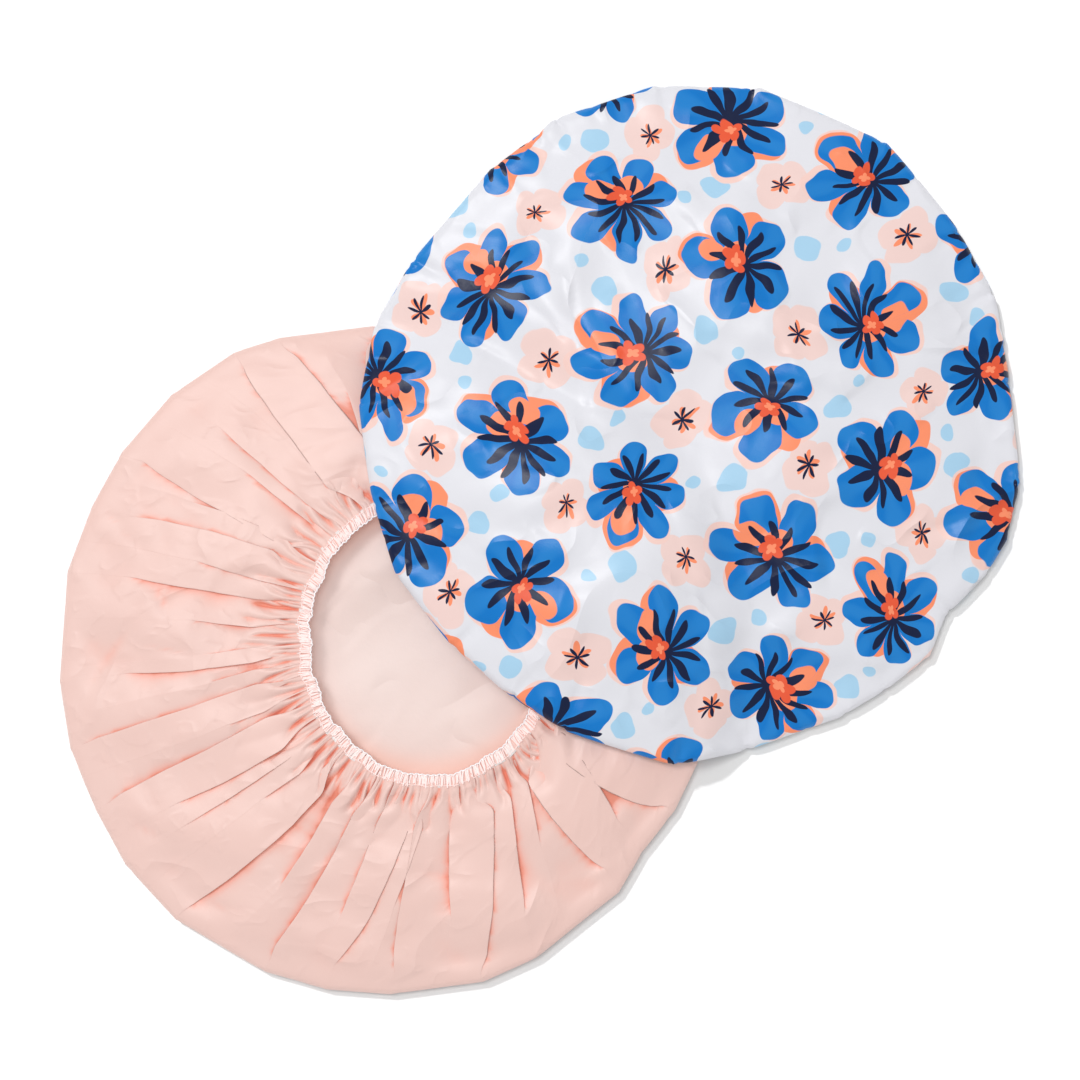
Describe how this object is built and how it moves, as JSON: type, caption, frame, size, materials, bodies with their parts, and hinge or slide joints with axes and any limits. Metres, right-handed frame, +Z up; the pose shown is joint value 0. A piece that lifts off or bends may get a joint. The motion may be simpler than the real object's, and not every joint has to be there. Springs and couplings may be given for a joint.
{
  "type": "shower cap set",
  "caption": "Soft round shower caps with a gathered, elasticated opening, laid flat: a plain one opening up, a printed one opening down and overlapping it.",
  "frame": {"origin": "middle of the set's bounding box in plan, at the height of the table that it lies on", "axes": "+Z up from the table; +X towards the side where the printed cap lies, along the set's longest side; +Y completes the right-handed frame"},
  "size_m": [0.4184, 0.3966, 0.0392],
  "materials": {
    "peach_satin": "plain peach cloth, soft sheen",
    "printed_satin": null,
    "lining_film": "thin waterproof film, pale peach, smooth",
    "elastic": "woven white elastic, matte",
    "peach_thread": "pale pink thread, matte",
    "white_thread": "white thread, matte"
  },
  "bodies": {
    "plain_cap": {"plain_shell": "peach_satin", "plain_lining": "lining_film", "plain_elastic": "elastic", "plain_elastic_tack": "peach_thread", "plain_looper_thread": "peach_thread", "plain_needle_thread": "peach_thread"},
    "printed_cap": {"printed_shell": "printed_satin", "printed_lining": "lining_film", "printed_elastic": "elastic", "printed_elastic_tack": "white_thread", "printed_looper_thread": "white_thread", "printed_needle_thread": "white_thread"}
  },
  "joints": [
    {"name": "printed_cap_lift", "type": "slide", "parent": "plain_cap", "child": "printed_cap", "axis": [0, 0, 1], "range_m": [0, 0.12]}
  ]
}
